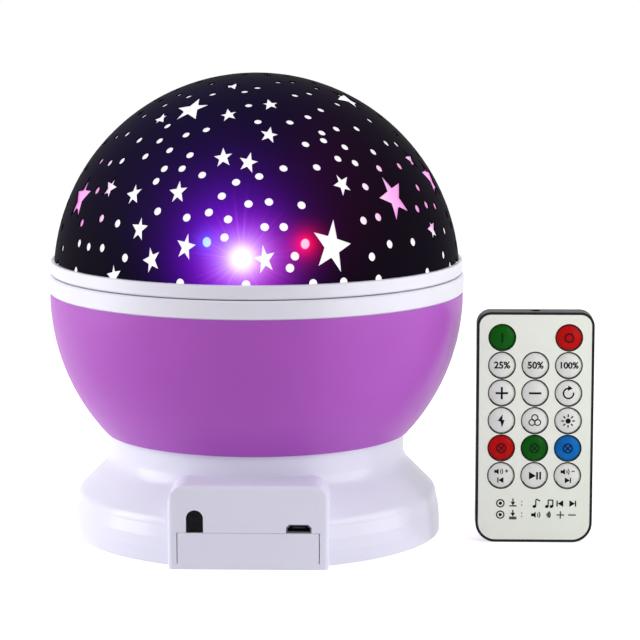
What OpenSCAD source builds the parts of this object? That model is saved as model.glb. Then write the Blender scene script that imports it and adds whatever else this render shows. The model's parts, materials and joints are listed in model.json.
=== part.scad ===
// Star night light: a bowl and a pierced star dome turn on a flared base, with a flat keypad remote.
// +Z is up and the sockets face -Y. The origin is where the globe's axis meets the ground.

/* [Base] */
// Radius of the foot at its widest
foot_r = 60.8; // [60:0.2:61]
// Radius of the neck under the bowl
neck_r = 48.8; // [48.6:0.2:50.2]
// Height of the neck's top edge
neck_top = 33.4; // [33:0.1:35]
// Wall thickness of the base mouldings
base_wall = 2; // [1.6:0.1:2.4]
// Height of the bottom cover's outer lip
lip_h = 1.8; // [1.4:0.1:2.4]
// Height of the straight part of the neck
neck_h = 6; // [5.4:0.2:6.6]
// Radius of the hollow curve below the neck
flare_r = 7; // [5:0.5:8]
// Radius of the rounded shoulder below the flare
shoulder_r = 4; // [3:0.5:6]
// Depth of the well that the ring gear turns in
well_h = 5; // [5:0.2:6]

/* [Socket box] */
// Width of the box that stands out at the front
port_w = 50.6; // [50:0.2:52]
// Distance of the box's front face from the axis
port_y = 61.2; // [61.1:0.1:63]
// Height of the box's top face
port_top = 26.8; // [25:0.1:27]
// Radius of the box's upper corners
port_corner_r = 6; // [4:0.5:7]
// Radius along the box's upper front edge
port_edge_r = 2; // [1:0.2:3]
// Radius along the box's upright front edges
port_side_r = 1.6; // [1:0.2:2.2]
// Width of the bottom cover's tab in the box's front
tab_w = 44.4; // [44:0.2:44.8]
// Height of the tab's upper edge
tab_top = 11.7; // [11:0.1:12.5]
// Distance of the receiver window from the middle
eye_x = 16.8; // [14:0.1:17.4]
// Width of the receiver window
eye_w = 5.4; // [5:0.1:6]
// Height of the receiver window
eye_h = 7.2; // [6:0.1:8]
// Distance of the charging socket from the middle
usb_x = 15.9; // [13:0.1:16.4]
// Width of the charging socket
usb_w = 8; // [7.4:0.1:8.2]
// Height of the charging socket
usb_h = 2.8; // [2.4:0.1:3]

/* [Globe] */
// Outer radius of the bowl
bowl_r = 68.2; // [67.6:0.2:70]
// How far the bowl's lower edge stands out over the neck
bowl_overhang = 1.8; // [1:0.2:2.2]
// Wall thickness of the bowl
bowl_wall = 2; // [1.6:0.1:2.4]
// Height of the bowl's rim above its lower edge
bowl_h = 46.3; // [45:0.1:47]
// How far the trim ring stands out past the bowl
ring_proud = 0.2; // [0.1:0.1:1]
// Height of the trim ring's visible band
ring_h = 6; // [5.6:0.1:8]
// How far the dome's collar is set back behind the trim ring
collar_step = 0.5; // [0.4:0.1:0.7]
// Height of the collar's visible band
collar_h = 4.4; // [4.2:0.1:7]
// Turn that frees the dome from its catches, in degrees
twist_deg = 20; // [18:1:22]

/* [Star dome] */
// How far the star dome is set back behind its collar
dome_step = 0.9; // [0.8:0.1:1.2]
// Depth of the dome's centre below the collar's top edge
dome_sink = 6.1; // [5:0.1:7]
// Thickness of the dark star skin
skin_t = 0.5; // [0.4:0.1:0.8]
// Thickness of the clear dome below the skin
clear_t = 1.5; // [1.2:0.1:2]
// Radius of a large star's points
star_l = 6.6; // [5:0.2:8]
// Radius of a small star's points
star_s = 3.4; // [2.5:0.1:4]
// Inner radius of a star as a share of its outer radius
star_waist = 0.4; // [0.35:0.01:0.5]
// Radius of a dot
dot_r = 1.15; // [0.8:0.05:1.3]
// Usual distance between dots
dot_pitch = 8.4; // [8:0.2:12]
// How much the windows near the collar are drawn out upwards by the forming of the skin
draw_out = 0.4; // [0:0.05:0.5]

/* [Turntable drive] */
// Teeth of the ring gear under the bowl
ring_teeth = 84; // [84:12:84]
// Teeth of the motor's pinion
pinion_teeth = 12; // [12:1:12]
// Tooth size: pitch diameter over tooth count
gear_module = 1; // [0.98:0.01:1]
// Height of the ring gear
ring_gear_h = 4; // [3:0.2:4.4]
// Radius of the fixed lamp column
column_r = 6; // [5:0.2:7]
// Radius of the wire bore in the column
column_bore_r = 3.4; // [2:0.2:4]
// Radius of the gearbox
gearbox_r = 10.4; // [9.4:0.2:10.6]
// Radius of the motor
motor_r = 6; // [5:0.5:8]
// Radius of the gearbox's output shaft
shaft_r = 1.5; // [1.2:0.1:1.6]

/* [Lamp] */
// Height of the lamp board's top face
lamp_z = 89.2; // [86:0.2:92]
// Radius of the circle that the lamps stand on
lamp_circle_r = 17; // [14:0.5:18]
// Radius of a lamp
led_r = 2.5; // [1.5:0.1:2.5]

/* [Battery bay] */
// Radius of a battery cell
cell_r = 5.15; // [5.1:0.05:5.25]
// Length of a battery cell without its button
cell_l = 43.6; // [43:0.1:44]
// Number of cells side by side
cell_count = 4; // [3:1:4]
// Distance of the bay's middle from the axis
bay_y = 15.5; // [15:0.1:16]

/* [Rear buttons] */
// Radius of a push button
push_r = 3.6; // [3:0.1:3.8]
// Distance between push buttons
push_pitch = 11.5; // [10:0.5:12]
// Height of the push buttons
push_z = 8.8; // [8.6:0.1:9.2]
// Travel of a push button
push_travel = 0.6; // [0.3:0.1:0.7]

/* [Remote] */
// Width of the remote
remote_w = 38; // [37:0.2:42]
// Height of the remote
remote_h = 76; // [75.4:0.2:84]
// Thickness of the remote
remote_t = 7; // [7:0.1:8]
// Gap between the globe and the remote at its right
remote_gap = 4.1; // [1:0.1:20]
// Distance of the remote's middle plane in front of the axis
remote_y = 18; // [0:1:30]
// Radius of a key
key_r = 4; // [3:0.1:4]
// Distance between key columns
key_pitch_x = 10.8; // [10.6:0.1:11.2]
// Distance between key rows
key_pitch_z = 9.1; // [9:0.05:9.3]
// Distance of the top key row below the remote's top edge
key_top_gap = 8.3; // [8:0.1:9]
// Travel of a key
key_travel = 0.4; // [0.2:0.05:0.4]
// Radius of the coin cell
coin_r = 10; // [9:0.1:10.2]

/* [Hidden] */
base_nodes = ["base_shell", "bottom_cover", "cover_screws", "main_board", "usb_socket", "ir_receiver",
  "speaker_frame", "speaker_cone", "battery_cells", "battery_contacts", "battery_door", "gear_motor",
  "gearbox_case", "output_shaft", "drive_pinion", "lamp_column", "bearing_washer", "retaining_clip",
  "lamp_tray", "led_board", "led_white", "led_blue", "led_red", "led_green", "lamp_lead", "tact_switches",
  "light_button", "colour_button", "turn_button"];
globe_nodes = ["bowl_shell", "ring_gear", "trim_ring", "dome_collar", "clear_dome", "star_skin"];
remote_nodes = ["remote_back_shell", "remote_faceplate", "remote_board", "remote_snap_domes",
  "remote_ir_led", "coin_tray", "coin_cell"];
key_names = ["key_on", "key_off", "key_quarter", "key_half", "key_full", "key_plus", "key_minus",
  "key_rotate", "key_flash", "key_mix", "key_white", "key_red", "key_green", "key_blue", "key_previous",
  "key_play", "key_next"];
// column and row of each key, in the same order; row 0 is the lowest
key_spots = [[-1, 5], [1, 5], [-1, 4], [0, 4], [1, 4], [-1, 3], [0, 3], [1, 3], [-1, 2], [0, 2], [1, 2],
  [-1, 1], [0, 1], [1, 1], [-1, 0], [0, 0], [1, 0]];
$fn = 96;

// clearances
seat_gap = 0.1;      // between mouldings of one body that plug together
seam_gap = 0.25;     // seam at the sides of the bottom cover's tab
slide_gap = 0.3;     // between pieces that move past each other
turn_gap = 0.05;     // between a shaft and its bearing, on the radius
cut = 1;             // how far a cut runs past the face it opens

// base levels and outline
neck_z = neck_top - neck_h;
deck_top = neck_top - well_h;
deck_t = base_wall;
deck_under = deck_top - deck_t;
foot_bulge = 1.2;
foot_bulge_z = 4.5;
shoulder_x = foot_r - foot_bulge - shoulder_r;
flare_line = neck_r + flare_r + neck_z - 2 * flare_r * cos(45);
shoulder_z = flare_line - shoulder_x - 2 * shoulder_r * cos(45);
well_r = neck_r - base_wall;
floor_z = 1.2;                       // underside of the recessed floor
floor_top = floor_z + 2;
rim_w = 5;                           // width of the rim that stands on the ground
box_back = 44;                       // how far back the socket box's hollow runs

// globe levels and radii
bowl_foot_r = neck_r + bowl_overhang;
ring_r = bowl_r + ring_proud;
collar_r = ring_r - collar_step;
dome_r = collar_r - dome_step;
bowl_z = neck_top + 0.4;
bowl_centre = bowl_z + sqrt(bowl_r * bowl_r - bowl_foot_r * bowl_foot_r);
bowl_top = bowl_z + bowl_h;
bowl_floor_t = 2;
ring_top = bowl_top + ring_h;
collar_z = ring_top + slide_gap;
collar_top = collar_z + collar_h;
collar_floor_t = 2;
dome_z = collar_top - dome_sink;
clear_r = dome_r - skin_t - seat_gap;
dome_seat_z = collar_z + collar_floor_t;
edge_dots = 26;
edge_lat = asin(dome_sink / dome_r) + 0.2;

// bayonet catch between ring and collar
ring_bore_r = bowl_r - bowl_wall - 2.2;
catch_r = ring_bore_r - 2.5;         // inner radius of the ring's catch ledge
catch_t = 2;
skirt_r = catch_r - slide_gap;
skirt_in_r = skirt_r - 1.6;
lug_r = ring_bore_r - 0.4;
lug_h = 1.8;
lug_deg = 14;
catch_gap_deg = lug_deg + 4;
catch_z = bowl_top + 0.8;
lug_z = catch_z - slide_gap - lug_h;
skirt_z = lug_z - 0.5;
ring_skirt_z = lug_z - 1.6;
stop_deg = 3;
catches = 3;

// drive
pitch_ring = ring_teeth * gear_module / 2;
pitch_pinion = pinion_teeth * gear_module / 2;
drive_arm = pitch_ring - pitch_pinion;
drive_turn = 135;                    // direction of the pinion seen from the axis
drive_x = drive_arm * cos(drive_turn);
drive_y = drive_arm * sin(drive_turn);
gear_wall = 3;
gear_root_r = pitch_ring + 1.25 * gear_module;
gear_out_r = gear_root_r + gear_wall;
gear_z = bowl_z - ring_gear_h;
backlash = 0.1;
pressure = 20;
gearbox_h = 12;
gearbox_z = deck_under - gearbox_h;
motor_z = floor_top + 0.4;
peg_r = 1;
peg_circle_r = (gear_root_r + gear_out_r) / 2;
peg_count = 4;

// column and hub
hub_r = column_r + 4;
hub_top = bowl_z + 10.6;
washer_t = 1;
washer_top = bowl_z - 0.2;
washer_z = washer_top - washer_t;
column_step_r = hub_r - 1;
column_flange_r = hub_r + 3;
column_flange_t = 2;
clip_t = 1;
groove_r = column_r - 0.8;
led_board_t = 1.2;
tray_top = lamp_z - led_board_t;
tray_t = 1.5;
tray_sleeve = 12;
led_board_r = lamp_circle_r + 4;
tray_rim_r = led_board_r + 12;
tray_rim_h = 5;
led_body_h = 6.1;
led_flange_h = 1;
lamp_turns = [253, 193, 340, 73];     // white, blue, red and green
wire_r = 0.6;

// battery bay
bay_gap = 0.4;
bay_l = cell_l + 6.4;
cell_pitch = 2 * cell_r + bay_gap;
bay_w = cell_count * cell_pitch + bay_gap;
bay_wall = 1.5;
cell_z = floor_top + bay_gap / 2 + cell_r;
bay_top = cell_z + cell_r + bay_gap;
bay_front = -bay_y - bay_w / 2;
bay_back = -bay_y + bay_w / 2;
door_gap = 0.3;
door_ledge = 0.6;                    // how far the floor opening is wider than the bay
door_bevel = 2.2;
door_tab_w = 6;
door_tab_t = 0.8;
door_tab_reach = 2;
door_tab_x = 15;
latch_w = 8;

// boards
board_t = 1.6;
board_z = tab_top - board_t;
board_w = tab_w + 0.2;
board_front = port_y - base_wall - 0.2;
board_back = 41;
post_r = 2.2;
post_x = 17;
screw_circle_r = 50.5;
screw_turns = [30, 150, 210, 330];
screw_r = 1.4;
screw_boss_r = 3;
screw_head_r = 2.6;
screw_head_h = 1.6;
screw_l = 9;

// speaker
speaker_r = 14;
speaker_x = 20;
speaker_y = 27;
speaker_z = floor_top + seat_gap;
speaker_h = 9;
magnet_r = 7;
grille_hole_r = 1.2;
grille_pitch = 4;

// rear button panel
panel_y = 57.4;
panel_w = 2 * push_pitch + 4 * push_r;
panel_top = push_z + push_r + 2.2;
panel_bottom = floor_top + 0.8;
panel_in = panel_y - base_wall;
push_flange_t = 1.2;
push_flange_r = push_r + 0.8;
push_proud = 1.2;
push_dome_r = 12;
switch_gap = 0.1;
switch_tip = panel_in - push_flange_t - push_travel - switch_gap;
switch_body = 3.5;
switch_board_t = 1.6;
switch_nub_l = 0.8;
switch_board_y = switch_tip - switch_nub_l - switch_body - switch_board_t;

// remote, in its own frame: face at -Y, middle plane at y = 0, lower end at z = 0
remote_x = bowl_r + remote_gap + remote_w / 2;
remote_wall = 1.2;
remote_rim = 0.8;
remote_top_r = 4.5;
remote_low_r = 6.5;
face_t = 0.8;
face_y = -remote_t / 2;
key_rows = 6;
key_z = remote_h - key_top_gap - (key_rows - 1) * key_pitch_z;
key_proud = 0.5;
key_flange_t = 0.5;
key_flange_w = 2 * key_r + 1.8;
key_flange_h = 2 * key_r - 4;
key_flange_y = face_y + face_t;
key_nub_l = 0.3;
snap_gap = 0.1;
snap_h = 0.3;
snap_r = 3.2;
key_back = key_flange_y + key_flange_t + key_nub_l;
snap_tip = key_back + key_travel + snap_gap;
remote_board_y = snap_tip + snap_h;
remote_board_t = 0.6;
remote_board_back = remote_board_y + remote_board_t;
remote_board_w = remote_w - 2 * remote_wall - 2;
remote_board_z = 6.2;                // height of the board's lower edge
remote_board_top = 7.8;              // from the board's upper edge to the remote's top
remote_inside = remote_t / 2 - remote_wall;
tray_thick = remote_inside - remote_board_back - 2 * 0.15;
tray_y = remote_board_back + 0.15;
tray_w = 2 * coin_r + 5;
tray_h = 2 * coin_r + 4;
tray_foot = 0.2;
coin_z = tray_foot + 2.2 + coin_r;
coin_gap = 0.1;
remote_led_r = 1.5;

// ---------- shared shapes ----------

function arc(cx, cy, r, a0, a1, steps) =
  [for (i = [0 : steps]) let (a = a0 + (a1 - a0) * i / steps) [cx + r * cos(a), cy + r * sin(a)]];

// Side of the base from neck to lip, moved inwards by w
function base_side(w) = concat(
  arc(neck_r + flare_r, neck_z, flare_r + w, 180, 225, 6),
  arc(shoulder_x, shoulder_z, shoulder_r - w, 45, 0, 6),
  [[foot_r - w - foot_bulge * 0.3, (shoulder_z + foot_bulge_z) / 2]],
  [[foot_r - w, foot_bulge_z], [foot_r - w, lip_h]]);

// Outline of a gear, or of the hollow in a ring gear; angles are half widths in degrees
function tooth_ring(count, low_r, high_r, low_deg, high_deg) =
  [for (i = [0 : count - 1], k = [0 : 3])
    let (a = 360 * i / count + [-low_deg, -high_deg, high_deg, low_deg][k])
    let (r = k == 0 || k == 3 ? low_r : high_r)
    [r * cos(a), r * sin(a)]];

function half_deg(width, r) = width / r * 180 / PI;

// Five-pointed star, turned, then drawn out k times along Y
function star_outline(r, turn, k) =
  [for (i = [0 : 9])
    let (q = i % 2 == 0 ? r : r * star_waist)
    let (a = 36 * i - turn)
    [q * sin(a), k * q * cos(a)]];

// Plate in the XZ plane, front face at y0, with round lower and upper corners
module upright_plate(w, z0, z1, low_r, top_r, y0, t) {
  translate([0, y0 + t, 0]) rotate([90, 0, 0]) linear_extrude(t) {
    translate([-w / 2 + low_r, z0]) square([w - 2 * low_r, low_r]);
    translate([-w / 2, z0 + low_r]) square([w, z1 - z0 - low_r - top_r]);
    translate([-w / 2 + top_r, z1 - top_r]) square([w - 2 * top_r, top_r]);
    for (s = [-1, 1]) {
      translate([s * (w / 2 - low_r), z0 + low_r]) circle(low_r);
      translate([s * (w / 2 - top_r), z1 - top_r]) circle(top_r);
    }
  }
}

module tube(r_out, r_in, z0, z1) {
  difference() {
    translate([0, 0, z0]) cylinder(r = r_out, h = z1 - z0);
    translate([0, 0, z0 - cut]) cylinder(r = r_in, h = z1 - z0 + 2 * cut);
  }
}

// Wedge of a ring, from angle a0 to a1
module ring_piece(r_in, r_out, z0, z1, a0, a1) {
  rotate([0, 0, a0]) rotate_extrude(angle = a1 - a0)
    translate([r_in, z0]) square([r_out - r_in, z1 - z0]);
}

module at_drive() translate([drive_x, drive_y, 0]) children();

module at_screws() for (a = screw_turns) rotate([0, 0, a]) translate([screw_circle_r, 0, 0]) children();

// Cylinder along Y from y0 to y1
module y_rod(r, y0, y1) translate([0, y1, 0]) rotate([90, 0, 0]) cylinder(r = r, h = y1 - y0);

// ---------- base ----------

// Plan of the socket box, made smaller by w all round
module port_plan(w, back) {
  half = port_w / 2 - w;
  front = port_y - w;
  side = max(port_side_r - w, 0.5);
  translate([-half, side - front]) square([2 * half, front - side - back]);
  translate([side - half, -front]) square([2 * (half - side), front - back]);
  for (s = [-1, 1]) translate([s * (half - side), side - front]) circle(side);
}

// Block at the front that holds the sockets, with round edges, made smaller by w all round
module port_block(w, back) {
  corner = port_corner_r - w;
  edge = max(port_edge_r - w, 0.5);
  top = port_top - w;
  half = port_w / 2 - w;
  front = port_y - w;
  low = lip_h - (w > 0 ? cut : 0);
  intersection() {
    translate([0, -back, 0]) rotate([90, 0, 0]) linear_extrude(front - back) {
      translate([-half, low]) square([2 * half, top - corner - low]);
      translate([corner - half, low]) square([2 * (half - corner), top - low]);
      for (s = [-1, 1]) translate([s * (half - corner), top - corner]) circle(corner);
    }
    rotate([90, 0, 90]) translate([0, 0, -half - cut]) linear_extrude(2 * (half + cut)) {
      translate([-front, low]) square([front - back, top - edge - low]);
      translate([edge - front, low]) square([front - back - edge, top - low]);
      translate([edge - front, top - edge]) circle(edge);
    }
    translate([0, 0, low - cut]) linear_extrude(top + 2 * cut) port_plan(w, back);
  }
}

// Arched outline of the receiver window, moved inwards by w, from y0 to y1
module eye_shape(w, y0, y1) {
  r = eye_w / 2 - w;
  translate([-eye_x, y1, tab_top]) rotate([90, 0, 0]) linear_extrude(y1 - y0) {
    translate([-r, w]) square([2 * r, eye_h - eye_w / 2 - w]);
    translate([0, eye_h - eye_w / 2]) circle(r);
  }
}

// Outline of the charging socket: flat below, upper corners cut off
module usb_shape(w, y0, y1) {
  half = usb_w / 2 - w;
  slope = usb_h * 0.35;
  translate([usb_x, y1, tab_top]) rotate([90, 0, 0]) linear_extrude(y1 - y0)
    polygon([[-half, w], [half, w], [half, usb_h - w - slope], [half - slope, usb_h - w],
      [slope - half, usb_h - w], [-half, usb_h - w - slope]]);
}

module base_body() {
  rotate_extrude() polygon(concat([[0, lip_h], [0, neck_top], [neck_r, neck_top]], base_side(0)));
  port_block(0, box_back);
}

module base_hollow() {
  intersection() {
    rotate_extrude() polygon(concat([[0, lip_h - cut], [0, neck_z]], base_side(base_wall),
      [[foot_r - base_wall, lip_h - cut]]));
    cylinder(r = foot_r, h = deck_under);
  }
  intersection() {
    port_block(base_wall, box_back - 2);
    cylinder(r = 2 * foot_r, h = deck_under);
  }
}

module base_shell() color("#ECE8F6") difference() {
  union() {
    difference() {
      base_body();
      base_hollow();
    }
    // flat panel behind the rear buttons
    intersection() {
      base_body();
      translate([-panel_w / 2 - base_wall, panel_in, floor_top + seat_gap])
        cube([panel_w + 2 * base_wall, base_wall, panel_top + base_wall - floor_top - seat_gap]);
    }
    // bosses for the cover's screws
    intersection() {
      base_body();
      at_screws() translate([0, 0, floor_top + 2.4]) cylinder(r = screw_boss_r, h = deck_top - floor_top);
    }
  }
  translate([0, 0, deck_top]) cylinder(r = well_r, h = well_h + cut);
  translate([-panel_w / 2, panel_y, panel_bottom]) cube([panel_w, foot_r, panel_top - panel_bottom]);
  for (i = [-1 : 1]) translate([i * push_pitch, 0, push_z]) y_rod(push_r + slide_gap, panel_in - cut, foot_r);
  at_screws() cylinder(r = screw_r + turn_gap, h = floor_top + screw_l + 1);
  translate([0, 0, deck_under - cut]) cylinder(r = column_bore_r, h = deck_t + 2 * cut);
  at_drive() translate([0, 0, deck_under - cut]) cylinder(r = shaft_r + slide_gap, h = deck_t + 2 * cut);
  translate([-tab_w / 2 - seam_gap, -port_y - cut, 0])
    cube([tab_w + 2 * seam_gap, base_wall + 2 * cut, tab_top]);
  eye_shape(0, -port_y - cut, -port_y + base_wall + cut);
  usb_shape(0, -port_y - cut, -port_y + base_wall + cut);
}

module door_tabs(grow) {
  for (s = [-1, 1]) translate([s * door_tab_x - door_tab_w / 2 - grow, bay_back - 3, floor_top])
    cube([door_tab_w + 2 * grow, 3 + door_ledge + door_tab_reach + grow, door_tab_t + (grow > 0 ? 2 : 0)]);
}

module bottom_cover() color("#E4E0EE") difference() {
  union() {
    // rim that stands on the ground, and the lip under the socket box
    difference() {
      union() {
        cylinder(r = foot_r, h = lip_h);
        linear_extrude(lip_h) port_plan(0, box_back);
      }
      translate([0, 0, -cut]) cylinder(r = foot_r - rim_w, h = floor_z + cut);
    }
    translate([0, 0, floor_z]) cylinder(r = foot_r - base_wall - seat_gap, h = floor_top - floor_z);
    translate([0, 0, floor_z]) linear_extrude(floor_top - floor_z)
      port_plan(base_wall + seat_gap, box_back - 2);
    // tab that closes the lower front of the socket box
    translate([-tab_w / 2, -port_y, 0]) cube([tab_w, base_wall, tab_top - seat_gap]);
    // battery bay
    translate([-bay_l / 2 - bay_wall, bay_front - bay_wall, floor_z])
      cube([bay_l + 2 * bay_wall, bay_w + 2 * bay_wall, bay_top + bay_wall - floor_z]);
    // posts for the main board and the switch board
    for (s = [-1, 1], y = [-board_front + 4.8, -board_back - 3]) translate([s * post_x, y, floor_z])
      cylinder(r = post_r, h = board_z - floor_z);
    for (s = [-1, 1]) translate([s * 16 - 1.5, switch_board_y - 1.6, floor_z]) cube([3, 1.6, 7]);
    at_screws() translate([0, 0, floor_z]) cylinder(r = screw_boss_r, h = 4.4);
    // fence that centres the speaker
    translate([speaker_x, speaker_y, 0]) tube(speaker_r + 1.1, speaker_r + seat_gap, floor_z, floor_top + 2);
  }
  translate([-bay_l / 2, bay_front, floor_z - cut]) cube([bay_l, bay_w, bay_top - floor_z + cut]);
  translate([-bay_l / 2 - door_ledge, bay_front - door_ledge, floor_z - cut])
    cube([bay_l + 2 * door_ledge, bay_w + 2 * door_ledge, floor_top - floor_z + cut]);
  door_tabs(0.4);
  translate([-latch_w / 2 - 0.4, bay_front - door_ledge - 2, floor_z - cut])
    cube([latch_w + 0.8, 3, floor_top - floor_z + 5]);
  at_screws() {
    translate([0, 0, floor_z - cut]) cylinder(r = screw_head_r + 0.2, h = screw_head_h + cut + 0.2);
    cylinder(r = screw_r + 0.2, h = 12);
  }
  translate([speaker_x, speaker_y, 0]) {
    for (i = [-2 : 2], j = [-2 : 2]) if (i * i + j * j < 6)
      translate([i * grille_pitch, j * grille_pitch, -cut])
        cylinder(r = grille_hole_r, h = floor_top + 2 * cut);
  }
}

module cover_screws() color("#A9ABB0") at_screws() {
  difference() {
    translate([0, 0, floor_z + 0.2]) cylinder(r = screw_head_r, h = screw_head_h);
    for (a = [0, 90]) rotate([0, 0, a]) translate([-1.5, -0.3, floor_z]) cube([3, 0.6, 0.9]);
  }
  translate([0, 0, floor_z + 0.2 + screw_head_h]) cylinder(r = screw_r, h = screw_l);
}

module battery_door() color("#E4E0EE") {
  front = bay_front - door_ledge + door_gap;
  back = bay_back + door_ledge - door_gap;
  half = bay_l / 2 + door_ledge - door_gap;
  difference() {
    rotate([90, 0, 90]) translate([0, 0, -half]) linear_extrude(2 * half)
      polygon([[front, floor_z], [back - door_bevel, floor_z], [back, floor_top], [front, floor_top]]);
    // finger ribs, cut as grooves
    for (i = [-2 : 2]) translate([-6, front + 5 + 1.8 * i, floor_z - cut]) cube([12, 0.8, cut + 0.4]);
  }
  door_tabs(0);
  // snap tongue
  translate([-latch_w / 2, front, floor_top]) cube([latch_w, 1, 3.6]);
  translate([-latch_w / 2, front - 1, floor_z]) cube([latch_w, 1 + door_gap, floor_top - floor_z]);
}

module battery_cells() color("#3E7F5A") for (i = [0 : cell_count - 1]) {
  side = i % 2 == 0 ? 1 : -1;
  translate([0, bay_front + bay_gap + cell_r + cell_pitch * i, cell_z]) rotate([0, 90 * side, 0]) {
    translate([0, 0, -cell_l / 2]) cylinder(r = cell_r, h = cell_l);
    translate([0, 0, cell_l / 2]) cylinder(r = 1.9, h = 0.8);
  }
}

module battery_contacts() color("#C9CBD0") for (i = [0 : cell_count - 1]) {
  side = i % 2 == 0 ? 1 : -1;
  plate_t = 0.4;
  end = bay_l / 2 - 0.05;
  translate([0, bay_front + bay_gap + cell_r + cell_pitch * i, cell_z]) rotate([0, 0, side > 0 ? 0 : 180]) {
    translate([end - plate_t, -4, -4]) cube([plate_t, 8, 8]);
    translate([cell_l / 2 + 0.8, 0, 0]) rotate([0, 90, 0]) cylinder(r = 2.2, h = end - cell_l / 2 - 0.8);
    translate([-end, -4, -4]) cube([plate_t, 8, 8]);
    // coil spring, drawn as its own cone
    translate([-end, 0, 0]) rotate([0, 90, 0]) difference() {
      cylinder(r1 = 3.6, r2 = 2.4, h = end - cell_l / 2);
      translate([0, 0, plate_t]) cylinder(r1 = 2.9, r2 = 1.7, h = end - cell_l / 2);
    }
  }
}

module main_board() color("#1F6B45") {
  difference() {
    translate([-board_w / 2, -board_front, board_z]) cube([board_w, board_front - board_back, board_t]);
    for (s = [-1, 1]) translate([s * post_x, -board_back - 3, board_z - cut]) cylinder(r = 1, h = 4);
  }
  translate([-4, -52, tab_top]) cube([9, 7, 1.5]);
  translate([-14, -50, tab_top]) cube([5, 4, 1.2]);
  translate([10, -48, tab_top]) cylinder(r = 2.5, h = 6);
}

module usb_socket() color("#B9BCC2") {
  y0 = -port_y + 0.6;
  y1 = -port_y + 5.4;
  difference() {
    usb_shape(seat_gap, y0, y1);
    usb_shape(seat_gap + 0.3, y0 - cut, y1 - 0.4);
  }
  translate([usb_x - usb_w / 4, y0 + 0.5, tab_top + usb_h / 2]) cube([usb_w / 2, y1 - y0 - 0.6, 0.5]);
}

module ir_receiver() color("#141418") {
  difference() {
    eye_shape(seat_gap, -port_y + 0.5, -port_y + 4.6);
    translate([-eye_x - 1, -port_y + 0.4, tab_top]) cube([2, 0.5, 0.9]);
  }
  translate([-eye_x, -port_y + 2.2, tab_top + eye_h - eye_w / 2]) difference() {
    sphere(r = 2.05);
    translate([-3, -1.6, -3]) cube([6, 6, 6]);
  }
}

module speaker_frame() color("#3A3B40") translate([speaker_x, speaker_y, 0]) rotate_extrude()
  polygon([[speaker_r - 1.6, speaker_z], [speaker_r, speaker_z], [speaker_r, speaker_z + 1.2],
    [magnet_r + 2, speaker_z + 5], [magnet_r, speaker_z + 5], [magnet_r, speaker_z + speaker_h],
    [0, speaker_z + speaker_h], [0, speaker_z + 5.4], [3, speaker_z + 5.4], [3, speaker_z + 4.2],
    [magnet_r + 1, speaker_z + 4.2], [speaker_r - 1.6, speaker_z + 0.9]]);

module speaker_cone() color("#57504A") translate([speaker_x, speaker_y, 0]) rotate_extrude()
  polygon([[0, speaker_z + 2.2], [2, speaker_z + 2.6], [speaker_r - 3, speaker_z + 0.2],
    [speaker_r - 1.8, speaker_z + 0.2], [speaker_r - 1.8, speaker_z + 0.7],
    [3, speaker_z + 3.4], [3, speaker_z + 4], [0, speaker_z + 4]]);

module gear_motor() color("#B4B6BA") at_drive() {
  translate([0, 0, motor_z + 0.8]) cylinder(r = motor_r, h = gearbox_z - motor_z - 0.8);
  translate([0, 0, motor_z]) cylinder(r = 2, h = 0.8);
}

module gearbox_case() color("#D8D9DC") at_drive() difference() {
  union() {
    translate([0, 0, gearbox_z]) cylinder(r = gearbox_r, h = gearbox_h);
    for (a = [drive_turn - 90, drive_turn + 90]) rotate([0, 0, a])
      translate([gearbox_r + 1, 0, deck_under - 2]) cylinder(r = 2.6, h = 2);
  }
  translate([0, 0, gearbox_z + 3]) cylinder(r = shaft_r + turn_gap, h = gearbox_h);
  for (a = [drive_turn - 90, drive_turn + 90]) rotate([0, 0, a])
    translate([gearbox_r + 1, 0, deck_under - 3]) cylinder(r = 1.1, h = 4);
}

module output_shaft() color("#C4C6CA") at_drive()
  translate([0, 0, gearbox_z + 3.2]) cylinder(r = shaft_r, h = gear_z + ring_gear_h - gearbox_z - 3.8);

module drive_pinion() color("#F2F2F0") at_drive() rotate([0, 0, drive_turn]) {
  low = half_deg(1.1 * gear_module, pitch_pinion - 1.25 * gear_module);
  tip_r = pitch_pinion + 0.8 * gear_module;
  high = half_deg(0.3 * gear_module, tip_r);
  difference() {
    translate([0, 0, gear_z + 0.2]) linear_extrude(ring_gear_h - 0.8)
      polygon(tooth_ring(pinion_teeth, pitch_pinion - 1.25 * gear_module, tip_r, low, high));
    translate([0, 0, gear_z - cut]) cylinder(r = shaft_r + 0.02, h = ring_gear_h + 2 * cut);
  }
}

module lamp_column() color("#F4F4F4") difference() {
  union() {
    translate([0, 0, deck_top]) cylinder(r = column_flange_r, h = column_flange_t);
    translate([0, 0, deck_top]) cylinder(r = column_step_r, h = washer_z - deck_top);
    translate([0, 0, deck_top]) cylinder(r = column_r, h = tray_top - deck_top - 0.1);
  }
  translate([0, 0, deck_top - cut]) cylinder(r = column_bore_r, h = lamp_z);
  tube(column_r + cut, groove_r, hub_top + 0.05, hub_top + clip_t + 0.15);
}

module bearing_washer() color("#DDE3E6") tube(column_step_r, column_r + 0.1, washer_z, washer_top);

module retaining_clip() color("#8E9094") difference() {
  tube(column_r + 2.4, groove_r + 0.05, hub_top + 0.1, hub_top + 0.1 + clip_t);
  translate([0, -groove_r + 1, hub_top]) cube([column_r + 4, 2 * groove_r - 2, clip_t + 1]);
}

module lamp_tray() color("#FAFAFA") difference() {
  sleeve_z = tray_top - tray_sleeve;
  sleeve_r = column_r + 2.1;
  rotate_extrude() polygon([[column_r + seat_gap, sleeve_z], [sleeve_r, sleeve_z],
    [sleeve_r, tray_top - tray_t], [led_board_r + 1, tray_top - tray_t],
    [tray_rim_r, tray_top + tray_rim_h - 1.4], [tray_rim_r, tray_top + tray_rim_h],
    [led_board_r + 1, tray_top + 0.2], [led_board_r + 1, tray_top], [column_r + seat_gap, tray_top]]);
}

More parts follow.
